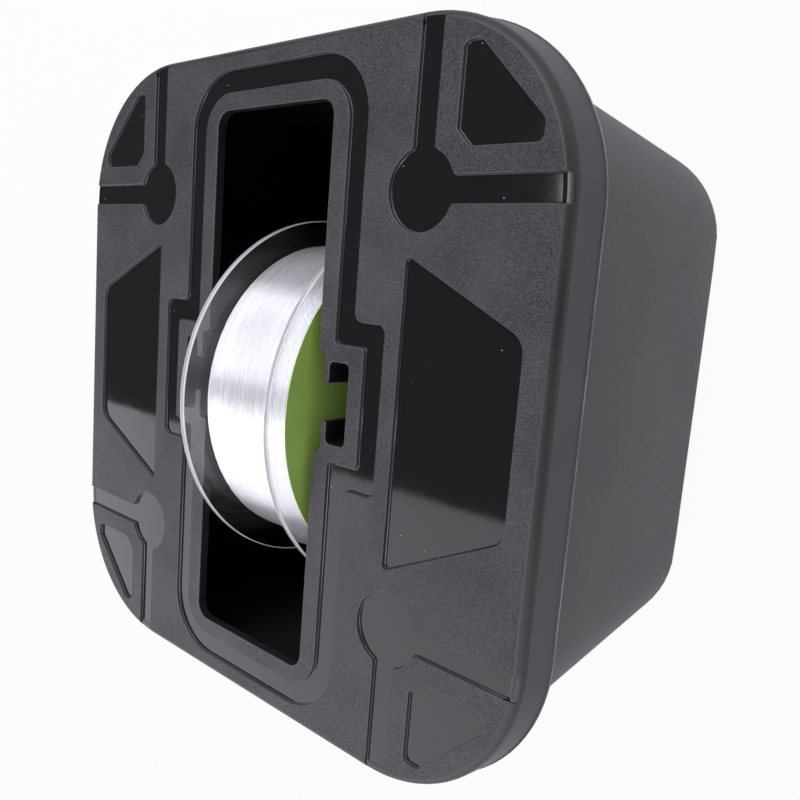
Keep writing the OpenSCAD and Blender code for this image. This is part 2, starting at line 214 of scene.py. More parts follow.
def rounded(corners, radii, steps=8):
    """A closed outline, counterclockwise, whose corners are arcs of the given radii. Returns its points and
    its outward normals: an arc's normal is its radius, pointing out at a left turn and in at a right turn."""
    corners, radii = np.asarray(corners, float), np.asarray(radii, float)
    back, ahead = unit(np.roll(corners, 1, 0) - corners), unit(np.roll(corners, -1, 0) - corners)
    half = np.arccos(np.sum(back * ahead, axis=1)) / 2
    middle = corners + unit(back + ahead) * (radii / np.sin(half))[:, None]
    reach = (radii / np.tan(half))[:, None]
    first, last = corners + back * reach - middle, corners + ahead * reach - middle
    start = np.arctan2(first[:, 1], first[:, 0])
    turn = np.arctan2(last[:, 1], last[:, 0]) - start
    turn = (turn + np.pi) % (2 * np.pi) - np.pi
    angle = start[:, None] + turn[:, None] * np.linspace(0, 1, steps + 1)
    radial = np.stack([np.cos(angle), np.sin(angle)], axis=-1)
    points = middle[:, None] + radii[:, None, None] * radial
    normals = radial * np.sign(turn)[:, None, None]
    return points.reshape(-1, 2), normals.reshape(-1, 2)


def quarter_angles(steps):
    """Angles over a quarter turn, from 0 to pi / 2."""
    return np.linspace(0, np.pi / 2, steps + 1)


def rim_round(radius):
    """A quarter round from land to wall, as (out, up) from the corner that it rounds off."""
    t = quarter_angles(5)
    return np.column_stack([radius * (1 - np.sin(t)), radius * (np.cos(t) - 1)])


def arc(middle, radius, start, end, steps):
    """Points of an arc between two angles in degrees, and its outward radii."""
    angle = np.radians(np.linspace(start, end, steps + 1))
    radial = np.stack([np.cos(angle), np.sin(angle)], axis=-1)
    return np.asarray(middle) + radius * radial, radial


def carried(points, normals, profile, z=0.0):
    """A profile of (out, up) carried along a path: each point is path + out * normal, at height z + up."""
    out, up = np.asarray(profile).T
    plan = points[None] + out[:, None, None] * normals[None]
    return np.dstack([plan, np.broadcast_to((z + up)[:, None], plan.shape[:2])])


def within(points, loop):
    """True for each point inside a closed loop: a ray to the right crosses an odd number of its edges."""
    a, b = loop, np.roll(loop, -1, 0)
    x, y = points[:, :1], points[:, 1:]
    crosses = (a[:, 1] > y) != (b[:, 1] > y)
    rise = np.where(a[:, 1] == b[:, 1], 1.0, b[:, 1] - a[:, 1])
    at = a[:, 0] + (y - a[:, 1]) * (b[:, 0] - a[:, 0]) / rise
    return np.sum(crosses & (x < at), axis=1) % 2 == 1


def lathe(profile, side=1, marks=0):
    """A closed profile of (radius, distance along the axle) turned about the spool's own axis along X:
    y = radius * cos, z = radius * sin. side is -1 for the mirror image."""
    radius, along = np.asarray(profile, float).T
    angle = np.linspace(0, 2 * np.pi, LATHE_SIDES, endpoint=False)
    radius, along = radius[:, None], along[:, None]
    grid = np.stack(np.broadcast_arrays(
        SPOOL_X + side * along, SPOOL_Y + radius * np.cos(angle), AXLE_Z + radius * np.sin(angle)), axis=-1)
    skin = Skin()
    skin.sheet(grid, marks, around=True, along=True)
    return skin


# Lid

def recess_profile():
    """Section across a recess's edge, from land to floor: flat, quarter round, wall, quarter round, flat."""
    t = quarter_angles(5)
    foot = np.column_stack([FOOT_R * (np.cos(t) - 1), FOOT_R * (1 - np.sin(t)) - RECESS_D])
    return np.vstack([[LAND_MARGIN, 0], rim_round(RIM_R), foot, [-FLOOR_MARGIN, -RECESS_D]])


RECESS = recess_profile()
RECESS_MARKS = np.select([RECESS[1:, 1] > -0.1 * RIM_R, RECESS[:-1, 1] > -0.95 * RECESS_D],
                         [STIPPLED, SATIN], GLOSSY)

# The columns along one half side of the square: where they cross it, and how deep the channel is there
channel_out, channel_up = RECESS.T
CHANNEL_AT = np.concatenate([DISC_AT - CHANNEL_HALF - channel_out, [DISC_AT],
                             (DISC_AT + CHANNEL_HALF + channel_out)[::-1]])
CHANNEL_DEPTH = np.concatenate([-channel_up, [RECESS_D], -channel_up[::-1]])
LAND_AT = [0.0, 18.0, 36.0, 48.0]
SIDE_AT = np.concatenate([LAND_AT, CHANNEL_AT])
SIDE_DEPTH = np.concatenate([np.zeros(len(LAND_AT)), CHANNEL_DEPTH])
CORNER_COLUMNS = 16


def square_rings(half, radius, z, side_at=SIDE_AT, columns=CORNER_COLUMNS):
    """Rounded squares in plan, one for each half width, corner radius and height. Along a side the columns
    keep their distance from the middle, so that a channel's walls stay straight. A column that is past the
    corner's centre lies on its arc, at centre + sqrt(radius^2 - past^2). The columns round the corner share
    evenly what is left of the quarter turn."""
    as_columns = (np.atleast_1d(value).astype(float)[:, None] for value in (half, radius, z))
    half, radius, z = np.broadcast_arrays(*as_columns)
    centre = half - radius
    past = np.maximum(side_at - centre, 0)
    side = np.stack(np.broadcast_arrays(centre + np.sqrt(radius ** 2 - past ** 2), side_at[None]), axis=-1)
    edge = np.arcsin(np.clip((side_at[-1] - centre) / radius, 0, 1))
    angle = edge + (np.pi / 2 - 2 * edge) * np.arange(1, columns) / columns
    corner = np.stack([centre + radius * np.cos(angle), centre + radius * np.sin(angle)], axis=-1)
    quarter = np.concatenate([side, corner, side[:, :0:-1, ::-1]], axis=1)
    turned = quarter @ np.array([[0, 1], [-1, 0]])
    plan = np.concatenate([quarter, turned, -quarter, -turned], axis=1)
    return np.dstack([plan, np.broadcast_to(z, plan.shape[:2])])


def band_edge(at):
    """How far out the inner edge of the lid's band lies, at a distance from the middle of a side."""
    radius = BAND_HALF - CORNER_AT
    return CORNER_AT + np.sqrt(radius ** 2 - np.maximum(at - CORNER_AT, 0) ** 2)


def lid_band(skin):
    """The lid's edge, skirt, lip, underside and rib as one sheet round the square. In a channel the surface
    sinks along its own normal by depth * (1 - tilt / MOUTH_END) ^ MOUTH_FADE, so the channel runs out as the
    edge turns down to the skirt. The edge's rounding has painted shade, a darker colour, but for its ends, a
    channel's floor is glossy up to MOUTH_GLOSS, and the middle of the lip has a painted highlight, a lighter
    colour. Returns the innermost outline and the rib's."""
    top_half = SKIRT_HALF - SKIRT_DRAFT
    t = np.linspace(np.pi / 2, 0, 13)
    edge = np.column_stack([top_half - EDGE_R * (1 - np.cos(t)), -EDGE_R * (1 - np.sin(t))])
    skirt = np.linspace([top_half, -EDGE_R], [SKIRT_HALF, LIP_H - SKIRT_H], 6)[1:]
    t = np.linspace(0, 1, 9)[1:]
    lip = np.column_stack([SKIRT_HALF + LIP_OUT * np.sqrt(np.sin(np.pi * t)), LIP_H * (1 - t) - SKIRT_H])
    inside = SKIRT_HALF - SKIRT_T
    under = [[inside, -SKIRT_H], [inside, -PLATE_T]]
    profile = np.vstack([[BAND_HALF, 0], [BAND_HALF + BAND_STEP, 0], edge, skirt, lip, under])
    depth = np.tile(np.concatenate([SIDE_DEPTH, np.zeros(CORNER_COLUMNS - 1), SIDE_DEPTH[:0:-1]]), 4)
    tilt = np.full(len(profile), np.pi / 2)
    tilt[:2], tilt[2:len(edge) + 2] = 0, np.linspace(0, np.pi / 2, len(edge))
    fade = np.clip(1 - tilt / MOUTH_END, 0, 1) ** MOUTH_FADE
    sunk = depth * fade[:, None]
    rings = square_rings(profile[:, 0], profile[:, 0] - CORNER_AT, profile[:, 1])
    inward = square_rings(profile[:, 0] - 1, profile[:, 0] - 1 - CORNER_AT, profile[:, 1]) - rings
    rings[..., :2] += inward[..., :2] * (sunk * np.sin(tilt)[:, None])[..., None]
    rings[..., 2] -= sunk * np.cos(tilt)[:, None]
    rib = [[RIB_HALF, -PLATE_T], [RIB_HALF, -PLATE_T - RIB_H],
           [RIB_HALF - RIB_T, -PLATE_T - RIB_H], [RIB_HALF - RIB_T, -PLATE_T]]
    rib_rings = square_rings(*np.array([[h, RIB_R - RIB_HALF + h, z] for h, z in rib]).T)
    rings = np.concatenate([rings, rib_rings])
    marks = np.full((len(rings) - 1, rings.shape[1]), SATIN)
    edge_row, lip_row = 2, 2 + len(edge) + len(skirt)
    marks[:len(edge) + 1] = STIPPLED
    # Painted shade: the middle of the edge's rounding gets a darker colour where it turns from the light.
    marks[edge_row + 2:len(edge)] = PAINTED_SHADE
    marks[len(profile) - 3:] = INSIDE
    low = np.minimum(depth, np.roll(depth, -1)) > 0.9 * RIM_R
    marks[:len(edge) + 1][(tilt[1:len(edge) + 2, None] < MOUTH_GLOSS) & low] = GLOSSY
    # Painted highlight: the middle rows of the lip get a lighter colour.
    marks[lip_row + 1:lip_row + 4] = PAINTED_HIGHLIGHT
    skin.sheet(rings + [0, 0, FACE_Z], marks, around=True)
    return rings[0, :, :2], rib_rings[-1, :, :2]


def corner_paths():
    """The two edges of a corner's recess, a disc with two channels, about the disc's middle. Each runs in
    along a channel, turns through a small arc on to the disc, round it, and out again. A small arc's middle
    is one radius from the channel and disc alike. Normals point to the land."""
    w, f = CHANNEL_HALF, SHARP_R
    a = np.sqrt((DISC_R + f) ** 2 - (w + f) ** 2)
    phi = np.degrees(np.arctan2(a, w + f))

    def path(x_side, disc_start, disc_end, steps, fillets):
        """One edge: small arc, disc, small arc, between two points where the channels begin."""
        (mid_1, from_1, to_1), (mid_2, from_2, to_2) = fillets
        p1, n1 = arc(mid_1, f, from_1, to_1, 6)
        p2, n2 = arc([0, 0], DISC_R, disc_start, disc_end, steps)
        p3, n3 = arc(mid_2, f, from_2, to_2, 6)
        points = np.vstack([[x_side * w, 0], p1, p2[1:-1], p3, [0, x_side * w]])
        normals = np.vstack([[x_side, 0], -n1, n2[1:-1], -n3, [0, x_side]])
        return points, normals

    outer = path(1, phi, 90 - phi, 8, [((w + f, a), 180, 180 + phi), ((a, w + f), 270 - phi, 270)])
    inner = path(-1, 180 - phi, 270 + phi, 40, [((-w - f, a), 0, -phi), ((a, -w - f), 90 + phi, 90)])
    return outer, inner


def corner_grid(points, normals, profile):
    """The recess profile along one of those edges, whose two ends run out to the lid's band."""
    grid = carried(points + DISC_AT, normals, profile)
    out = profile[:, 0]
    side = np.sign(normals[0, 0])
    ends = DISC_AT + side * (CHANNEL_HALF + out)
    grid[:, 0, 0], grid[:, 0, 1] = ends, band_edge(ends)
    grid[:, -1, 0], grid[:, -1, 1] = band_edge(ends), ends
    return grid


def cross_corners(x, y, wide_x, wide_y):
    """Corners of a rectangle that is wider over a stretch at its middle, counterclockwise."""
    right = [[x, -y], [x, -wide_y], [wide_x, -wide_y], [wide_x, wide_y], [x, wide_y], [x, y]]
    return right + [[-px, -py] for px, py in right]


def slot_outline():
    """The slot with its bays, notches and pockets as one hole."""
    right = [([SLOT_X, -SLOT_Y], SLOT_R), ([SLOT_X, -BAY_Y], SHARP_R), ([BAY_X, -BAY_Y], SHARP_R),
             ([BAY_X, -NOTCH_Y], TIP_R), ([POCKET_X, -NOTCH_Y], TIP_R), ([POCKET_X, -POCKET_Y], POCKET_R),
             ([POCKET_FAR, -POCKET_Y], POCKET_R)]
    up = [([x, -y], r) for (x, y), r in right[::-1]]
    half = right + up
    corners = [p for p, r in half] + [[-x, -y] for (x, y), r in half]
    return rounded(corners, [r for p, r in half] * 2)


def pocket_boxes(skin):
    """The box under each pocket. Its plan is one loop, out round the wall's outer face and back round the
    inner, whose two ends are the notch's rounded tips. The notch's half width narrows in a straight line to
    the seat, is SEAT_R * cos below it, and closes, and from there down the two faces are sheets of their own.
    Strips from one face to the other close the wall at its top and bottom."""
    top, seat = -PLATE_T, AXLE_Z - FACE_Z
    straight = np.linspace(top, seat, 5)
    t = quarter_angles(9)[1:]
    z = np.concatenate([straight, seat - SEAT_R * np.sin(t), [-POCKET_H + POCKET_STEP, -POCKET_H]])
    gap = np.concatenate([np.interp(straight, [seat, top], [SEAT_R, NOTCH_Y]), SEAT_R * np.cos(t), [0, 0]])
    far, side = POCKET_FAR + POCKET_WALL, POCKET_Y + POCKET_WALL
    tip = TIP_R * np.clip(gap / SEAT_R, 1e-4, 1)

    outer = rounded([[BAY_X, -side], [far, -side], [far, side], [BAY_X, side]],
                    [POCKET_EDGE_R, POCKET_R, POCKET_R, POCKET_EDGE_R])[0]
    inner = rounded([[POCKET_X, -POCKET_Y], [POCKET_FAR, -POCKET_Y], [POCKET_FAR, POCKET_Y],
                     [POCKET_X, POCKET_Y]], [POCKET_R] * 4)[0]
    a = quarter_angles(6)
    rows = len(z)
    tip_in, tip_y = tip[:, None] * (1 - np.cos(a)), gap[:, None] + tip[:, None] * (1 - np.sin(a))
    outer_tip, inner_tip = np.dstack([BAY_X + tip_in, tip_y]), np.dstack([POCKET_X - tip_in, tip_y])
    flip = np.array([1, -1])
    plan = np.concatenate([
        outer_tip[:, ::-1] * flip, np.broadcast_to(outer, (rows,) + outer.shape), outer_tip,
        inner_tip[:, ::-1], np.broadcast_to(inner[::-1], (rows,) + inner.shape), inner_tip * flip], axis=1)
    half, shut = plan.shape[1] // 2, rows - 3
    grid = np.dstack([plan, np.broadcast_to(z[:, None], plan.shape[:2])]) + [0, 0, FACE_Z]
    for side_x in (1, -1):
        turned = grid * [side_x, 1, 1]
        skin.sheet(turned[:shut + 1], INSIDE, around=True)
        skin.sheet(turned[shut:, :half], INSIDE)
        skin.sheet(turned[shut:, half:], INSIDE)
        for level in (0, -1):
            skin.sheet(np.array([turned[level, :half], turned[level, half:][::-1]]), INSIDE)


def beyond(points, sign):
    """Moves points at the ends of a corner's channels out past the lid's band."""
    return points + PAST_BAND * np.array(sign) * (np.abs(points) > BAND_HALF - NEAR_BAND)


def lid_skin():
    """The lid: its band, the edges of the recesses, the slot's wall, the flat faces between, the pockets."""
    skin = Skin()
    band, rib = lid_band(skin)
    face_chains, floor_chains, holes, floors = [(band, True)], [(band, True)], [], []

    def closed_edge(points, normals):
        """The edge of a recess along a closed outline. Returns where the flat land and the floor begin."""
        skin.sheet(carried(points, normals, RECESS, FACE_Z), RECESS_MARKS, around=True)
        face, floor = points + normals * LAND_MARGIN, points - normals * FLOOR_MARGIN
        face_chains.append((face, True))
        floor_chains.append((floor, True))
        return face, floor

    signs = [(1, 1), (-1, 1), (-1, -1), (1, -1)]
    panel = rounded([[PANEL_NEAR, -PANEL_IN], [PANEL_FAR, -PANEL_OUT], [PANEL_FAR, PANEL_OUT],
                     [PANEL_NEAR, PANEL_IN]], [SHARP_R, PANEL_R, PANEL_R, SHARP_R])
    for x in (1, -1):
        face, floor = closed_edge(panel[0] * [x, 1], panel[1] * [x, 1])
        holes.append(face)
        floors.append(floor)

    near, far, cut, leg = CORNER_NEAR, CORNER_FAR, CORNER_CUT, CORNER_LEG
    corner = rounded([[near + cut, near], [far, near], [far, near + leg], [near + leg, far], [near, far],
                      [near, near + cut]], [SHARP_R, CORNER_R, CORNER_R, CORNER_R, CORNER_R, SHARP_R])
    outer, inner = corner_paths()
    for sign in signs:
        face, floor = closed_edge(corner[0] * sign, corner[1] * sign)
        holes.append(face)
        floors.append(floor)
        grids = [corner_grid(*path, RECESS) * [*sign, 1] for path in (outer, inner)]
        for grid in grids:
            skin.sheet(grid + [0, 0, FACE_Z], RECESS_MARKS)
        for row, chains, regions in ((0, face_chains, holes), (-1, floor_chains, floors)):
            a, b = (grid[row, :, :2] for grid in grids)
            chains += [(a, False), (b, False)]
            regions.append(np.vstack([beyond(a[:1], sign), a, beyond(a[-1:], sign),
                                      beyond(b[-1:], sign), b[::-1], beyond(b[:1], sign)]))

    sizes = np.array([FRAME_X, FRAME_Y, BOSS_X, BOSS_Y])
    groove = rounded(cross_corners(*(sizes + GROOVE_W)), ([GROOVE_R] + [2 * BOSS_R] * 4 + [GROOVE_R]) * 2,
                     steps=12)
    rim = rounded(cross_corners(*sizes), ([FRAME_R] + [BOSS_R] * 4 + [FRAME_R]) * 2, steps=12)
    groove_face, groove_floor = closed_edge(*groove)
    frame_face, frame_floor = closed_edge(rim[0], -rim[1])

    slot, slot_normals = slot_outline()
    slot_profile = np.vstack([[SLOT_MARGIN, 0], rim_round(SLOT_RIM_R), [0, -PLATE_T]])
    slot_marks = np.select([slot_profile[1:, 1] >= 0, slot_profile[1:, 1] > -2 * SLOT_RIM_R],
                           [STIPPLED, SATIN], INSIDE)
    skin.sheet(carried(slot, slot_normals, slot_profile, FACE_Z), slot_marks, around=True)
    slot_face = slot + slot_normals * SLOT_MARGIN
    face_chains.append((slot_face, True))

    def on_face(p):
        """Where the lid's land is: outside the groove and the recesses, and on the frame round the slot."""
        land = within(p, band) & ~within(p, groove_face)
        for hole in holes:
            land &= ~within(p, hole)
        return land | (within(p, frame_face) & ~within(p, slot_face))

    def on_floor(p):
        """Where the recesses' floors are, the groove's among them."""
        low = within(p, groove_floor) & ~within(p, frame_floor)
        for floor in floors:
            low |= within(p, floor) & within(p, band)
        return low

    skin.flat(face_chains, on_face, FACE_Z, STIPPLED)
    skin.flat(floor_chains, on_floor, FACE_Z - RECESS_D, GLOSSY)
    under = [(rib, True), (slot, True)]
    skin.flat(under, lambda p: within(p, rib) & ~within(p, slot), FACE_Z - PLATE_T, INSIDE)
    pocket_boxes(skin)
    return skin


# Tub

TUB_TOP_HALF, TUB_BASE_HALF, TUB_TOP_R, TUB_BASE_R = 100.2, 91.3, 44.6, 34.2
TUB_EDGE_R, TUB_T, FLOOR_T = 13.0, 2.4, 2.6
TUB_RIM_OUT, TUB_RIM_H, TUB_RIM_R, TUB_LEDGE_R = 1.2, 3.0, 0.4, 0.3
TUB_FOOT_W, TUB_FOOT_H, TUB_FOOT_R = 5.0, 1.2, 0.4
BASE_STEP, FLOOR_STEP = 12, 10
SKIRT_Z = FACE_Z - SKIRT_H
PLAIN_AT = np.array([0.0, 20.0, 38.0, 50.0])
PLAIN_COLUMNS, LEAST_R = 14, 1.0


def tub_skin():
    """The tub as rounded squares joined from the middle of its base, round the lower edge, up the outside,
    over the rim and down the inside. Half width and corner radius grow in proportion to height."""
    def ring(inset, z, level=None):
        """Half width, corner radius and height at an inset from the outside. level is a height of its own."""
        share = z / SKIRT_Z
        half = TUB_BASE_HALF + (TUB_TOP_HALF - TUB_BASE_HALF) * share - inset
        radius = TUB_BASE_R + (TUB_TOP_R - TUB_BASE_R) * share - inset
        return np.stack(np.broadcast_arrays(half, radius, z if level is None else level), axis=-1)

    rim = tub_high[2]
    t = quarter_angles(12)

    def lower_edge(inset, radius, floor):
        """The round edge between the base and the side."""
        return ring(inset + radius * (1 - np.sin(t)), floor + radius * (1 - np.cos(t)))

    foot = TUB_EDGE_R + TUB_FOOT_W
    q = quarter_angles(4)
    early, late = 1 - np.cos(q), 1 - np.sin(q)
    inner = TUB_EDGE_R - TUB_T
    ledge = rim - TUB_RIM_H
    outside = np.concatenate([
        ring(np.array([foot + TUB_FOOT_H + BASE_STEP, foot + TUB_FOOT_H]), np.zeros(2), TUB_FOOT_H),
        ring(foot + TUB_FOOT_R * late, TUB_FOOT_R * early)[::-1],
        lower_edge(0.0, TUB_EDGE_R, 0.0),
        ring(np.zeros(6), np.linspace(TUB_EDGE_R, ledge - 2 * TUB_LEDGE_R, 7)[1:]),
        ring(-TUB_LEDGE_R * early, ledge - TUB_LEDGE_R + TUB_LEDGE_R * np.sin(q)),
        ring(-TUB_RIM_OUT + TUB_LEDGE_R * late, ledge + TUB_LEDGE_R * early),
        ring(-TUB_RIM_OUT + TUB_RIM_R * early, rim - TUB_RIM_R * late),
        ring(TUB_T - TUB_RIM_R * late, rim - TUB_RIM_R * early)])
    inside_rows = np.concatenate([lower_edge(TUB_T, inner, FLOOR_T)[::-1],
                                  ring(np.array([foot + FLOOR_STEP]), np.zeros(1), FLOOR_T)])
    rows = np.concatenate([outside, inside_rows])
    marks = np.where(np.arange(len(rows) - 1) < len(outside) - 1, SATIN, INSIDE)
    rings = square_rings(rows[:, 0], np.maximum(rows[:, 1], LEAST_R), rows[:, 2], PLAIN_AT, PLAIN_COLUMNS)
    skin = Skin()
    skin.sheet(rings, marks, around=True)
    for level, mark in ((0, SATIN), (-1, INSIDE)):
        loop = rings[level, :, :2]
        skin.flat([(loop, True)], lambda p: within(p, loop), rings[level, 0, 2], mark)
    return skin


# Spool, line and label

FLANGE_T, HUB_R, HUB_T, DRUM_R = 2.1, 10.5, 1.8, 32.0
JOINT_L, JOINT_GAP = 5.0, 0.1
FLANGE_EDGE_R = 0.4
LABEL_IN, LABEL_R, LABEL_T = 14.0, 55.8, 0.3
INNER_HALF = SPOOL_HALF - FLANGE_T
WOUND_R, WOUND_MARGIN, WOUND_END_GAP, DRUM_GAP = 53.5, 0.1, 0.5, 0.1
LINE_TURNS, LINE_STEPS, LINE_SIDES = 150, 64, 6
STRAND_SHARE = 0.62  # the strand's radius as a share of its pitch: over a half, so that turns touch
WAVES, WAVE_HEIGHT, WAVE_RATE, WAVE_PHASE = 12, (0.0004, 0.0012), (0.11, 2.3), (0, 6.3)
TURN_DROP = (-0.005, 0.0)


def quarter_round(middle, radius, start, steps=5):
    """A quarter turn about a middle in (radius, along) from a start angle in degrees, the way clocks run."""
    angle = np.radians(start - np.linspace(0, 90, steps + 1))
    return np.asarray(middle) + radius * np.column_stack([np.cos(angle), np.sin(angle)])


def spool_profile(outer_half):
    """Section of one half: flange with round rim, drum and hub, whose ends are thinned to slip together."""
    skin_t = (HUB_T - JOINT_GAP) / 2
    r = FLANGE_EDGE_R
    end, step = JOINT_GAP - JOINT_L / 2, JOINT_L / 2
    drum_in = DRUM_R - HUB_T
    hub_out = HUB_R + HUB_T
    rim = np.vstack([quarter_round([FLANGE_R - r, SPOOL_HALF - r], r, 90),
                     quarter_round([FLANGE_R - r, INNER_HALF + r], r, 0)])
    if outer_half:
        drum = [[DRUM_R, INNER_HALF], [DRUM_R, end], [DRUM_R - skin_t, end], [DRUM_R - skin_t, step],
                [drum_in, step], [drum_in, INNER_HALF]]
        hub = [[hub_out, INNER_HALF], [hub_out, end], [hub_out - skin_t, end], [hub_out - skin_t, step],
               [HUB_R, step], [HUB_R, SPOOL_HALF]]
    else:
        drum = [[DRUM_R, INNER_HALF], [DRUM_R, step], [drum_in + skin_t, step], [drum_in + skin_t, end],
                [drum_in, end], [drum_in, INNER_HALF]]
        hub = [[hub_out, INNER_HALF], [hub_out, step], [HUB_R + skin_t, step], [HUB_R + skin_t, end],
               [HUB_R, end], [HUB_R, SPOOL_HALF]]
    profile = np.vstack([rim, drum, hub])
    marks = np.where(np.arange(len(profile)) < len(rim) - 1, CLEAR_RIM, CLEAR)
    marks[len(rim) // 2 - 1] = CLEAR_BAND
    return profile, marks


def label_profile():
    """A thin ring stuck on the flange."""
    return [[LABEL_R, SPOOL_HALF + LABEL_T], [LABEL_R, SPOOL_HALF], [LABEL_IN, SPOOL_HALF],
            [LABEL_IN, SPOOL_HALF + LABEL_T]]


def tube(skin, middle, out, radius, sides):
    """A closed tube: at each point of a line, a circle in the plane of its unit direction out and of X."""
    angle = np.linspace(0, 2 * np.pi, sides, endpoint=False)[None, :, None]
    across = np.array([1.0, 0.0, 0.0])
    grid = middle[:, None] + radius * (np.cos(angle) * out[:, None] + np.sin(angle) * across)
    skin.sheet(grid, around=True)
    for end in (0, -1):
        skin.sheet(np.stack([grid[end], np.broadcast_to(middle[end], grid[end].shape)]), around=True)


def wound_skin():
    """The line as one strand laid in a helix from flange to flange, round a core: x grows by one pitch each
    turn. Its radius wanders a little, by a sum of slow waves and by a small drop drawn for each turn."""
    reach = INNER_HALF - WOUND_END_GAP
    pitch = 2 * reach / (LINE_TURNS + 1)
    strand_r = pitch * STRAND_SHARE
    rng = np.random.default_rng(5)
    count = LINE_TURNS * LINE_STEPS + 1
    turn = np.arange(count) / LINE_STEPS
    angle = 2 * np.pi * turn
    waves = sum(rng.uniform(*WAVE_HEIGHT) * np.sin(angle * rng.uniform(*WAVE_RATE) + rng.uniform(*WAVE_PHASE))
                for _ in range(WAVES))
    drop = np.interp(turn, np.arange(LINE_TURNS + 2), rng.uniform(*TURN_DROP, LINE_TURNS + 2))
    radius = WOUND_R - strand_r - WOUND_MARGIN + drop + waves
    x = -reach + pitch * (0.5 + turn)
    out = np.column_stack([np.zeros(count), np.cos(angle), np.sin(angle)])
    middle = np.column_stack([SPOOL_X + x, SPOOL_Y + radius * out[:, 1], AXLE_Z + radius * out[:, 2]])
    skin = Skin()
    tube(skin, middle, out, strand_r, LINE_SIDES)
    core_r, drum_r = WOUND_R - 2 * strand_r, DRUM_R + DRUM_GAP
    core = lathe([[drum_r, -reach], [core_r, -reach], [core_r, reach], [drum_r, reach]])
    skin.add(np.vstack(core.points), core.faces, FLANK)
    return skin


# Pieces on the axle

CAP_R, CAP_L, CAP_EDGE_R = 11.0, 6.8, 0.7
CAP_FLUTES, FLUTE_COLUMNS, FLUTE_R, FLUTE_FROM = 16, 16, 0.8, 0.75
BORE_GAP, BORE_L = 0.04, 5.0
DISH_D, DISH_TOP, DISH_FOOT, DISH_MIDDLE_R = 0.5, 0.72, 0.68, 0.5
CAP_X = POCKET_X + (POCKET_FAR - POCKET_X - CAP_L) / 2
SPRING_R, SPRING_TURNS, SPRING_STEPS = 8.55, 2.5, 48
WIRE_R, WIRE_SIDES = 0.45, 12


def cap_skin(side):
    """A cap: a disc with rounded edges, a blind bore and a shallow dish in its outer face. Its rim dips at
    each flute by sqrt(FLUTE_R^2 - off^2), and the dip fades out from the rim to FLUTE_FROM of its radius."""
    angle = np.linspace(0, 2 * np.pi, FLUTE_COLUMNS * CAP_FLUTES, endpoint=False)
    pitch = 2 * np.pi / CAP_FLUTES
    off = ((angle + pitch / 2) % pitch - pitch / 2) * CAP_R
    dip = np.sqrt(np.maximum(FLUTE_R ** 2 - off ** 2, 0))
    t = quarter_angles(5)
    r = CAP_EDGE_R
    profile = np.vstack([[ROD_R + BORE_GAP, BORE_L], [ROD_R + BORE_GAP, 0.0],
                         np.column_stack([CAP_R - r + r * np.sin(t), r * (1 - np.cos(t))]),
                         np.column_stack([CAP_R - r * (1 - np.cos(t)), CAP_L - r * (1 - np.sin(t))]),
                         [CAP_R * DISH_TOP, CAP_L], [CAP_R * DISH_FOOT, CAP_L - DISH_D],
                         [DISH_MIDDLE_R, CAP_L - DISH_D]])
    share = np.clip((profile[:, 0] - CAP_R * FLUTE_FROM) / (CAP_R * (1 - FLUTE_FROM)), 0, 1)
    radius = profile[:, :1] - share[:, None] * dip
    grid = np.stack(np.broadcast_arrays(
        side * (CAP_X + profile[:, 1:]), radius * np.cos(angle), AXLE_Z + radius * np.sin(angle)), axis=-1)
    skin = Skin()
    skin.sheet(grid, around=True)
    for row in (0, -1):
        middle = np.broadcast_to(grid[row].mean(axis=0), grid[row].shape)
        skin.sheet(np.stack([grid[row], middle]), around=True)
    return skin


def spring_skin():
    """The spring's wire along a helix about the axle: x grows evenly from the first turn to the last."""
    low, high = box_mm("tension_spring")
    start, end = low[0] + WIRE_R, high[0] - WIRE_R
    turn = np.linspace(0, SPRING_TURNS, int(SPRING_TURNS * SPRING_STEPS) + 1)
    angle = 2 * np.pi * turn
    out = np.column_stack([np.zeros(len(turn)), np.cos(angle), np.sin(angle)])
    x = start + (end - start) * turn / SPRING_TURNS
    middle = np.column_stack([x, SPRING_R * out[:, 1], AXLE_Z + SPRING_R * out[:, 2]])
    skin = Skin()
    tube(skin, middle, out, WIRE_R, WIRE_SIDES)
    return skin


# Materials

class Value:
    """One output of a shader node. Sums, differences and products of values add Math nodes."""

    def __init__(self, paint, socket):
        self.paint, self.socket = paint, socket

    def math(self, operation, *operands):
        """The output of one Math node."""
        return self.paint.node("Math", {"operation": operation}, dict(enumerate(operands)))

    def larger(self, other):
        """The larger of two values."""
        return self.math("MAXIMUM", self, other)

    def __add__(self, other):
        return self.math("ADD", self, other)

    def __sub__(self, other):
        return self.math("SUBTRACT", self, other)

    def __rsub__(self, other):
        return self.math("SUBTRACT", other, self)

    def __mul__(self, other):
        return self.math("MULTIPLY", self, other)

    __radd__, __rmul__ = __add__, __mul__


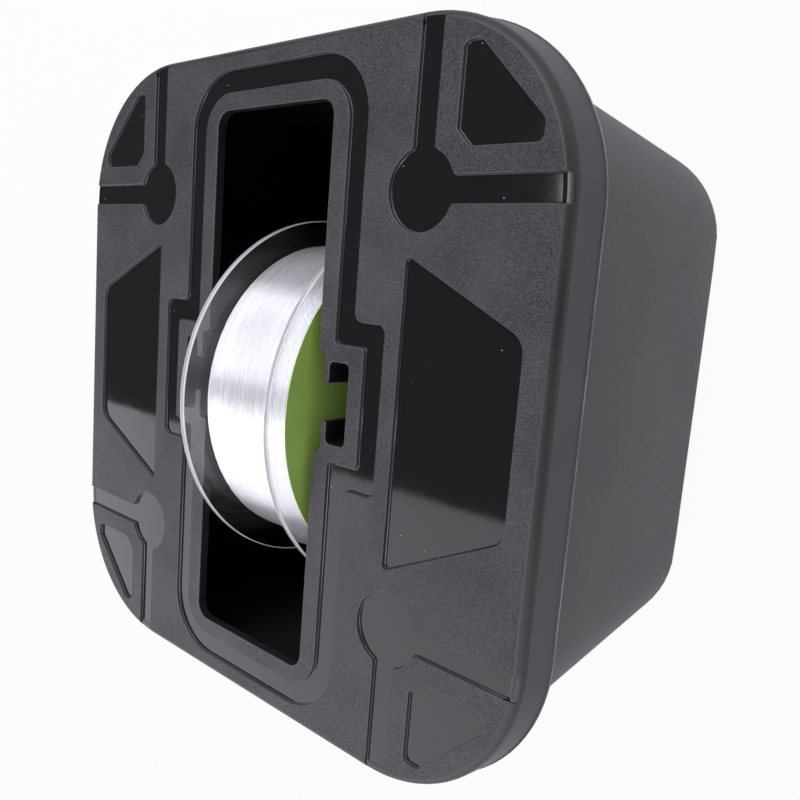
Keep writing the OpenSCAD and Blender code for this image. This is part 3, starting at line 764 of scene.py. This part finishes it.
class Paint:
    """A material, or the world, drawn with nodes."""

    def __init__(self, tree):
        self.tree = tree
        tree.nodes.clear()

    def node(self, kind, settings=None, sockets=None, out=0):
        """Adds a node with its settings, then its sockets as values or links, and gives one output."""
        made = self.tree.nodes.new("ShaderNode" + kind)
        for name, value in (settings or {}).items():
            setattr(made, name, value)
        for name, value in (sockets or {}).items():
            if isinstance(value, Value):
                self.tree.links.new(value.socket, made.inputs[name])
            else:
                made.inputs[name].default_value = value
        return Value(self, made.outputs[out])

    def place(self):
        """Object coordinates, in metres."""
        return self.node("TexCoord", out="Object")

    def ray(self, kind):
        """1 for rays of a kind, such as Camera or Glossy, and 0 for all others."""
        return self.node("LightPath", out="Is %s Ray" % kind)

    def noise(self, scale, detail=2.0, stretch=(1, 1, 1)):
        """Noise on object coordinates, with scale in lumps per metre."""
        place = self.node("Mapping", sockets={"Vector": self.place(), "Scale": stretch})
        return self.node("TexNoise", sockets={"Vector": place, "Scale": scale, "Detail": detail})

    def bump(self, height, strength, distance):
        """A normal that follows a height, with distance in metres."""
        return self.node("Bump", sockets={"Height": height, "Strength": strength, "Distance": distance})

    def blend(self, share, a, b):
        """Colour a where share is 0 and b where it is 1. Each is a colour or a value."""
        a, b = (colour if isinstance(colour, Value) else (*colour, 1) for colour in (a, b))
        return self.node("Mix", {"data_type": "RGBA"}, {0: share, 6: a, 7: b}, out=2)

    def spread(self, value, low, high, to_low, to_high):
        """Maps a value from one range to another, and holds it there."""
        return self.node("MapRange", sockets={0: value, 1: low, 2: high, 3: to_low, 4: to_high})


def material(name, draw):
    """A material whose surface is what draw makes of its node tree."""
    made = bpy.data.materials.new(name)
    made.use_nodes = True
    paint = Paint(made.node_tree)
    surface = draw(paint)
    end = made.node_tree.nodes.new("ShaderNodeOutputMaterial")
    made.node_tree.links.new(surface.socket, end.inputs["Surface"])
    return made


def plastic(paint, dark, light, rough, rough_range, grain, depth, mottle=60.0, **extra):
    """Moulded plastic: a colour that drifts slowly, and a fine grain of the given size and depth."""
    drift = paint.noise(mottle, 3.0)
    fine = paint.noise(1 / grain, 2.0)
    tone = paint.spread(drift + fine * 0.35, 0.45, 0.9, 0.0, 1.0)
    sockets = {"Base Color": paint.blend(tone, dark, light),
               "Roughness": paint.spread(fine + drift, 0.7, 1.3, rough, rough + rough_range),
               "Normal": paint.bump(fine, 1.0, depth)}
    sockets.update(extra)
    return paint.node("BsdfPrincipled", sockets=sockets)


def dust(paint, spacing, size):
    """A share that is 1 on pale specks: the middles of some cells of a pattern with the given spacing."""
    cells = {"Vector": paint.place(), "Scale": 1 / spacing}
    away, share = paint.node("TexVoronoi", sockets=cells), size / spacing
    near = paint.spread(away, share, 1.6 * share, 1.0, 0.0)
    some = paint.node("TexVoronoi", sockets=cells, out="Color")
    some = paint.node("SeparateColor", sockets={"Color": some})
    return near * paint.spread(some, 0.55, 0.6, 0.0, 1.0)


def draw_stippled(paint):
    """Spark-eroded grain on a slowly drifting tone. Each dimple is painted a little darker than the land
    between, as shade. There is sparse dust.
    """
    drift = paint.noise(45.0, 3.0)
    fine = paint.noise(2600.0, 1.0)
    tone = paint.blend(paint.spread(drift * 0.5 + fine, 0.5, 1.0, 0.0, 1.0),
                       (0.01, 0.01, 0.012), (0.058, 0.057, 0.064))
    tone = paint.blend(dust(paint, 0.011, 0.00014) * 0.6, tone, (0.5, 0.5, 0.5))
    return paint.node("BsdfPrincipled", sockets={
        "Base Color": tone, "IOR": 1.4, "Roughness": paint.spread(fine, 0.3, 0.7, 0.46, 0.6),
        "Normal": paint.bump(fine, 1.0, 0.0006)})


def draw_glossy(paint):
    """Polished recess with a few pale specks of dust."""
    drift = paint.noise(60.0, 3.0)
    tone = paint.blend(dust(paint, 0.0045, 0.00011), (0.007, 0.007, 0.008), (0.45, 0.45, 0.45))
    return paint.node("BsdfPrincipled", sockets={
        "Base Color": tone, "Roughness": paint.spread(drift, 0.3, 0.7, 0.04, 0.09),
        "Normal": paint.bump(drift, 0.4, 0.00006)})


def draw_satin(paint):
    """The skirt and the recesses' walls: plain moulded plastic."""
    return plastic(paint, (0.03, 0.029, 0.034), (0.058, 0.056, 0.065), 0.44, 0.12, 0.0009, 0.00001, 28.0)


def draw_tub_shaded(paint):
    """The tub's outside: the same plastic, its colour painted darker as shade."""
    return plastic(paint, (0.014, 0.014, 0.016), (0.034, 0.034, 0.038), 0.44, 0.12, 0.0009, 0.00001, 28.0)


def draw_painted_shade_edge(paint):
    """The lid's rounded edge, where the grain stops, its colour painted darker as shade where the edge turns
    from the light.
    """
    return plastic(paint, (0.009, 0.009, 0.01), (0.019, 0.019, 0.021), 0.4, 0.12, 0.0009, 0.00001, 28.0)


def draw_lip_highlight(paint):
    """The lip's edge, its colour painted lighter as a highlight along it."""
    return plastic(paint, (0.05, 0.05, 0.055), (0.34, 0.34, 0.36), 0.35, 0.1, 0.0009, 0.00001)


def draw_inside_shaded(paint):
    """Inner walls, which little light reaches, their colour painted darker than the outside's as shade."""
    return plastic(paint, (0.004, 0.004, 0.005), (0.007, 0.007, 0.008), 0.6, 0.1, 0.0009, 0.000006, IOR=1.3)


def draw_black(paint):
    """The caps' and the bush's black plastic."""
    return plastic(paint, (0.018, 0.018, 0.018), (0.03, 0.03, 0.03), 0.3, 0.15, 0.0008, 0.00001)


def draw_rubber(paint):
    """The drag washers' matt rubber."""
    return plastic(paint, (0.014, 0.014, 0.014), (0.025, 0.025, 0.025), 0.62, 0.15, 0.0006, 0.00002)


def draw_steel(paint):
    """The rod's, spring's and thrust washer's bright steel."""
    return plastic(paint, (0.55, 0.56, 0.57), (0.7, 0.71, 0.72), 0.2, 0.12, 0.0007, 0.000003, Metallic=1.0)


def draw_clear(paint):
    """Clear polystyrene. Shadow rays pass, so that the line inside stays bright."""
    waves = paint.noise(90.0, 1.0)
    glass = paint.node("BsdfPrincipled", sockets={
        "Base Color": (0.97, 0.98, 0.985, 1), "Transmission Weight": 1.0, "IOR": 1.5,
        "Roughness": paint.spread(waves, 0.3, 0.7, 0.01, 0.04), "Normal": paint.bump(waves, 0.25, 0.0002)})
    clear = paint.node("BsdfTransparent", sockets={"Color": (0.93, 0.94, 0.95, 1)})
    return paint.node("MixShader", sockets={0: paint.ray("Shadow"), 1: glass, 2: clear})


def draw_clear_rim(paint):
    """The flange's rim, painted milky white as a highlight for the light that it gathers from the clear
    plate.
    """
    waves = paint.noise(120.0, 2.0)
    share = paint.spread(waves, 0.3, 0.7, 0.0, 1.0)
    return paint.node("BsdfPrincipled", sockets={
        "Base Color": paint.blend(share, (0.82, 0.83, 0.85), (0.95, 0.96, 0.97)),
        "Transmission Weight": 0.3, "IOR": 1.5, "Roughness": paint.spread(waves, 0.3, 0.7, 0.08, 0.2)})


def draw_clear_band(paint):
    """The straight strip between the rim's two rounded edges: half see-through, half the rim's painted milky
    highlight.
    """
    through = paint.node("BsdfTransparent", sockets={"Color": (0.9, 0.91, 0.93, 1)})
    return paint.node("MixShader", sockets={0: 0.5, 1: through, 2: draw_clear_rim(paint)})


def draw_label(paint):
    """Matt printed paper."""
    fibre = paint.noise(3500.0, 3.0)
    cloud = paint.noise(70.0, 2.0)
    share = paint.spread(cloud + fibre * 0.3, 0.4, 0.9, 0.0, 1.0)
    return paint.node("BsdfPrincipled", sockets={
        "Base Color": paint.blend(share, (0.36, 0.56, 0.1), (0.42, 0.64, 0.125)),
        "Roughness": paint.spread(fibre, 0.3, 0.7, 0.5, 0.65), "Normal": paint.bump(fibre, 0.6, 0.00002)})


def draw_line(paint):
    """Clear nylon, which looks silvery where it is wound: streaks run round the spool."""
    streak = paint.noise(1500.0, 3.0, (1.0, 0.02, 0.02))
    share = paint.spread(streak, 0.35, 0.65, 0.0, 1.0)
    return paint.node("BsdfPrincipled", sockets={
        "Base Color": paint.blend(share, (0.62, 0.625, 0.645), (0.72, 0.725, 0.745)),
        "Metallic": 0.55, "Roughness": paint.spread(streak, 0.3, 0.7, 0.2, 0.3)})


def draw_flank(paint):
    """The sides of the wound line: fine rings about the spool's axis, where the turns lie side by side."""
    place = paint.node("Mapping", sockets={"Vector": paint.place(), "Scale": (0, 1, 1),
                                           "Location": (0, -SPOOL_Y * MM, -AXLE_Z * MM)})
    radius = paint.node("VectorMath", {"operation": "LENGTH"}, {0: place}, out="Value")
    rings = paint.node("TexNoise", {"noise_dimensions": "1D"}, {"W": radius, "Scale": 1500.0, "Detail": 2.0})
    share = paint.spread(rings, 0.35, 0.65, 0.0, 1.0)
    return paint.node("BsdfPrincipled", sockets={
        "Base Color": paint.blend(share, (0.44, 0.45, 0.47), (0.6, 0.605, 0.625)),
        "Metallic": 0.1, "Roughness": paint.spread(rings, 0.3, 0.7, 0.4, 0.55),
        "Normal": paint.bump(rings, 0.6, 0.00005)})


stippled = material("stippled_charcoal", draw_stippled)
glossy = material("glossy_black", draw_glossy)
satin = material("satin_charcoal", draw_satin)
inside = material("inside_charcoal_shaded", draw_inside_shaded)
tub_shaded_satin = material("tub_charcoal_shaded", draw_tub_shaded)
lip_highlight = material("lip_painted_highlight", draw_lip_highlight)
painted_shade_edge = material("edge_painted_shade", draw_painted_shade_edge)
black = material("black_plastic", draw_black)
rubber = material("rubber_black", draw_rubber)
steel = material("steel_bright", draw_steel)
clear = material("clear_plastic", draw_clear)
clear_rim = material("clear_rim", draw_clear_rim)
clear_band = material("clear_band", draw_clear_band)
paper = material("green_paper", draw_label)
nylon = material("wound_nylon", draw_line)
flank = material("wound_flank", draw_flank)

lid_skin().build("winder_lid", [stippled, glossy, satin, inside, lip_highlight, painted_shade_edge], "lid", ["lid"], "lid_plastic")
tub_skin().build("winder_tub", [stippled, glossy, tub_shaded_satin, inside], "box", ["tub"], "tub_plastic")
for side, name, half in ((-1, "spool_left", "spool_half_left"), (1, "spool_right", "spool_half_right")):
    profile, marks = spool_profile(side == 1)
    skin = lathe(profile, side=side, marks=marks)
    skin.build(name, [clear, clear_rim, clear_band], "spool", [half], "clear_plastic")
lathe(label_profile()).build("label_green", [paper], "spool", ["spool_label"], "label")
wound_skin().build("wound_line", [nylon, flank], "spool", ["line_winding", "line_core"], "line", sharp=80.0)
cap_skin(-1).build("cap_left", [black], "axle", ["axle_cap_left"], "black_plastic")
cap_skin(1).build("cap_right", [black], "axle", ["axle_cap_right"], "black_plastic")
spring_skin().build("spring_wire", [steel], "axle", ["tension_spring"], "steel")
for node, finish in (("axle_rod", steel), ("spacer_bush", black), ("drag_washer_left", rubber),
                     ("drag_washer_right", rubber), ("thrust_washer", steel)):
    for slot in nodes[node].material_slots:
        slot.material = finish


# Floor, camera and lights

STUDIO = (1.0, 0.985, 1.055)  # the lamps' colour, a touch towards blue
FLOOR_Z, FLOOR_HALF = -0.0001, 40.0  # in metres
FLOOR_GLOSSY, FLOOR_WHITE = 0.8, 0.95
WORLD_GREY, WORLD_DARKER, WORLD_WHITE = 0.55, 0.46, 0.974


def floor():
    """A sheet under the box. To the camera and through clear plastic it is white, FLOOR_WHITE of it its own
    light and the rest matt, which takes shadow. In reflections less of it is its own light, and to all
    other rays it is matt grey."""
    mesh = bpy.data.meshes.new("floor")
    corners = [(x * FLOOR_HALF, y * FLOOR_HALF, FLOOR_Z) for x, y in ((-1, -1), (1, -1), (1, 1), (-1, 1))]
    mesh.from_pydata(corners, [], [(0, 1, 2, 3)])

    def draw(paint):
        """Its own light where a ray sees it, and matt grey elsewhere."""
        camera_ray = paint.ray("Camera")
        seen = camera_ray.larger(paint.ray("Glossy") * FLOOR_GLOSSY).larger(paint.ray("Transmission"))
        matt = paint.node("BsdfDiffuse", sockets={"Color": (0.4, 0.4, 0.4, 1)})
        tint = paint.blend(camera_ray, STUDIO, (1, 1, 1))
        white = paint.node("Emission", sockets={"Color": tint, "Strength": 1.0})
        return paint.node("MixShader", sockets={0: seen * FLOOR_WHITE, 1: matt, 2: white})

    mesh.materials.append(material("floor_white", draw))
    piece = bpy.data.objects.new("floor", mesh)
    bpy.context.scene.collection.objects.link(piece)


def camera():
    """The photograph's view: where the camera stands, and its right, up and forward directions."""
    at = Vector((0.192655, 0.037025, 0.297501))
    right = Vector((0.75469196, 0.07887476, -0.65132083))
    up = Vector((-0.15850471, 0.98525925, -0.06434639))
    forward = Vector((-0.63664457, -0.15179913, -0.75606925))
    lens = bpy.data.cameras.new("camera")
    lens.lens, lens.sensor_width, lens.clip_start = 35.2, 36.0, 0.01
    made = bpy.data.objects.new("camera", lens)
    made.matrix_world = Matrix.Translation(at) @ Matrix((right, up, -forward)).transposed().to_4x4()
    bpy.context.scene.collection.objects.link(made)
    bpy.context.scene.camera = made


def softbox(name, at, towards, size, radiance, on_matt=True):
    """A rectangular lamp of even radiance: its power is radiance times area times pi."""
    lamp = bpy.data.lights.new(name, "AREA")
    lamp.shape, lamp.size, lamp.size_y = "RECTANGLE", size[0], size[1]
    lamp.color = STUDIO
    lamp.energy = radiance * size[0] * size[1] * np.pi
    made = bpy.data.objects.new(name, lamp)
    made.location = at
    made.rotation_euler = (Vector(towards) - Vector(at)).to_track_quat("-Z", "Y").to_euler()
    made.visible_camera = False
    made.visible_diffuse = on_matt
    bpy.context.scene.collection.objects.link(made)


def world():
    """White to the camera and through clear plastic, dark in reflections, and a soft grey to other rays."""
    made = bpy.data.worlds.new("studio")
    made.use_nodes = True
    paint = Paint(made.node_tree)
    seen = paint.ray("Camera").larger(paint.ray("Transmission"))
    strength = WORLD_GREY - paint.ray("Glossy") * WORLD_DARKER
    plain = paint.node("Background", sockets={"Color": (*STUDIO, 1), "Strength": strength})
    white = paint.node("Background", sockets={"Color": (1, 1, 1, 1), "Strength": WORLD_WHITE})
    surface = paint.node("MixShader", sockets={0: seen, 1: plain, 2: white})
    end = made.node_tree.nodes.new("ShaderNodeOutputWorld")
    made.node_tree.links.new(surface.socket, end.inputs["Surface"])
    bpy.context.scene.world = made


floor()
camera()
world()
softbox("key_box", (-0.12, -0.5, 1.5), (0, -0.05, 0.139), (0.5, 0.26), 13.5)
softbox("mouth_strip", (-0.1, -0.27, 1.5), (-0.1, -0.27, 0.0), (0.7, 0.06), 11.0)
softbox("top_box", (-0.15, 0.6, 1.35), (-0.15, 0.6, 0.0), (0.9, 0.9), 4.6)
softbox("low_card", (-0.6, -0.115, 0.2725), (-0.6, 1.0, 0.2725), (1.9, 0.265), 1.75, on_matt=False)
softbox("overhead_box", (-0.1, 1.1, 0.97), (-0.1, 0.0, 0.97), (1.4, 0.86), 2.4)
softbox("rim_card", (0.8, 0.8, 0.38), (0, 0, 0.139), (1.0, 0.4), 1.6, on_matt=False)
softbox("near_box", (1.0, 0.2, 1.25), (0, 0, 0.1), (0.8, 0.8), 0.2)

scene = bpy.context.scene
scene.view_settings.view_transform = "Standard"
